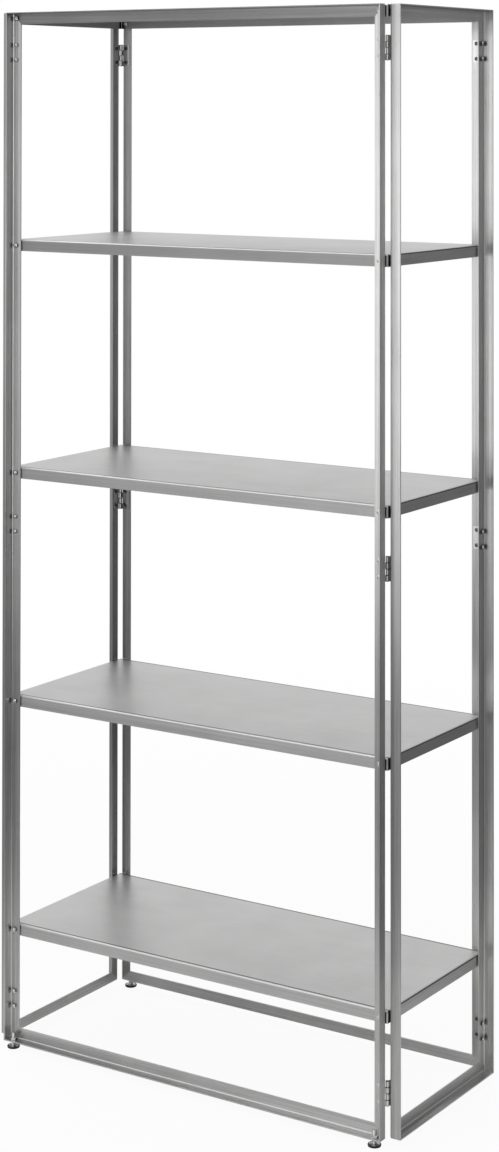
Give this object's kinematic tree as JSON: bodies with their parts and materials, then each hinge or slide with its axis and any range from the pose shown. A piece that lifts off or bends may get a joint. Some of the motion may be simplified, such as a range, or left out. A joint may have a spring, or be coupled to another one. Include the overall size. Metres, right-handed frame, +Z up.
{
  "type": "folding shelving unit",
  "caption": "Tall open shelving unit of brushed stainless steel: flat hinged frames of bent angle fold up once the lift-off tray shelves are out; stands on levelling feet",
  "frame": {"origin": "on the floor, under the middle of the unit", "axes": "+X to the right along the wide front, +Y from front to back, +Z up"},
  "size_m": [0.808, 0.3714, 1.812],
  "materials": {
    "frame_steel": "brushed along each bar, satin",
    "shelf_steel": "fine brushed sheet, satin",
    "hinge_steel": "stamped stainless, half bright",
    "fastener_steel": "bright machined steel",
    "foot_steel": "bright plated steel",
    "foot_plastic": "black, matt"
  },
  "bodies": {
    "front_frame": {"front_frame_left_post": "frame_steel", "front_frame_right_post": "frame_steel", "front_frame_top_bar": "frame_steel", "front_frame_bottom_bar": "frame_steel", "front_frame_hinge_leaves": "hinge_steel", "front_frame_hinge_screws": "fastener_steel", "front_frame_hinge_nuts": "fastener_steel", "front_frame_shelf_studs": "fastener_steel", "front_frame_stud_nuts": "fastener_steel", "front_left_hinge_pins": "hinge_steel", "front_left_foot_nut": "fastener_steel", "front_right_hinge_pins": "hinge_steel", "front_right_foot_nut": "fastener_steel"},
    "back_frame": {"back_frame_left_post": "frame_steel", "back_frame_right_post": "frame_steel", "back_frame_top_bar": "frame_steel", "back_frame_bottom_bar": "frame_steel", "back_frame_hinge_leaves": "hinge_steel", "back_frame_hinge_screws": "fastener_steel", "back_frame_hinge_nuts": "fastener_steel", "back_frame_shelf_studs": "fastener_steel", "back_frame_stud_nuts": "fastener_steel", "back_left_hinge_pins": "hinge_steel", "back_left_foot_nut": "fastener_steel", "back_right_hinge_pins": "hinge_steel", "back_right_foot_nut": "fastener_steel"},
    "left_frame": {"left_frame_front_post": "frame_steel", "left_frame_back_post": "frame_steel", "left_frame_top_bar": "frame_steel", "left_frame_bottom_bar": "frame_steel", "left_frame_hinge_leaves": "hinge_steel", "left_frame_hinge_screws": "fastener_steel", "left_frame_hinge_nuts": "fastener_steel"},
    "right_frame": {"right_frame_front_post": "frame_steel", "right_frame_back_post": "frame_steel", "right_frame_top_bar": "frame_steel", "right_frame_bottom_bar": "frame_steel", "right_frame_hinge_leaves": "hinge_steel", "right_frame_hinge_screws": "fastener_steel", "right_frame_hinge_nuts": "fastener_steel"},
    "top_shelf": {"top_shelf": "shelf_steel"},
    "upper_shelf": {"upper_shelf": "shelf_steel"},
    "middle_shelf": {"middle_shelf": "shelf_steel"},
    "lower_shelf": {"lower_shelf": "shelf_steel"},
    "bottom_shelf": {"bottom_shelf": "shelf_steel"},
    "front_left_foot": {"front_left_foot_stud": "foot_steel", "front_left_foot_sole": "foot_plastic"},
    "front_right_foot": {"front_right_foot_stud": "foot_steel", "front_right_foot_sole": "foot_plastic"},
    "back_left_foot": {"back_left_foot_stud": "foot_steel", "back_left_foot_sole": "foot_plastic"},
    "back_right_foot": {"back_right_foot_stud": "foot_steel", "back_right_foot_sole": "foot_plastic"}
  },
  "joints": [
    {"name": "front_left_fold", "type": "hinge", "parent": "front_frame", "child": "left_frame", "pos_m": [-0.381, -0.161, 0.912], "axis": [0, 0, 1], "range_deg": [-0.25, 0.25]},
    {"name": "back_left_fold", "type": "hinge", "parent": "left_frame", "child": "back_frame", "pos_m": [-0.381, 0.161, 0.912], "axis": [0, 0, 1], "range_deg": [-0.25, 0.25]},
    {"name": "front_right_fold", "type": "hinge", "parent": "front_frame", "child": "right_frame", "pos_m": [0.381, -0.161, 0.912], "axis": [0, 0, 1], "range_deg": [-0.25, 0.25]},
    {"name": "top_shelf_lift", "type": "slide", "parent": "front_frame", "child": "top_shelf", "axis": [0, 0, 1], "range_m": [0, 0.04]},
    {"name": "upper_shelf_lift", "type": "slide", "parent": "front_frame", "child": "upper_shelf", "axis": [0, 0, 1], "range_m": [0, 0.04]},
    {"name": "middle_shelf_lift", "type": "slide", "parent": "front_frame", "child": "middle_shelf", "axis": [0, 0, 1], "range_m": [0, 0.04]},
    {"name": "lower_shelf_lift", "type": "slide", "parent": "front_frame", "child": "lower_shelf", "axis": [0, 0, 1], "range_m": [0, 0.04]},
    {"name": "bottom_shelf_lift", "type": "slide", "parent": "front_frame", "child": "bottom_shelf", "axis": [0, 0, 1], "range_m": [0, 0.04]},
    {"name": "front_left_foot_height", "type": "slide", "parent": "front_frame", "child": "front_left_foot", "axis": [0, 0, 1], "range_m": [-0.008, 0.006]},
    {"name": "front_right_foot_height", "type": "slide", "parent": "front_frame", "child": "front_right_foot", "axis": [0, 0, 1], "range_m": [-0.008, 0.006]},
    {"name": "back_left_foot_height", "type": "slide", "parent": "back_frame", "child": "back_left_foot", "axis": [0, 0, 1], "range_m": [-0.008, 0.006]},
    {"name": "back_right_foot_height", "type": "slide", "parent": "back_frame", "child": "back_right_foot", "axis": [0, 0, 1], "range_m": [-0.008, 0.006]}
  ],
  "couplings": [
    {"joint": "back_left_fold", "follows": "front_left_fold", "ratio": -1},
    {"joint": "front_right_fold", "follows": "front_left_fold", "ratio": 1}
  ]
}
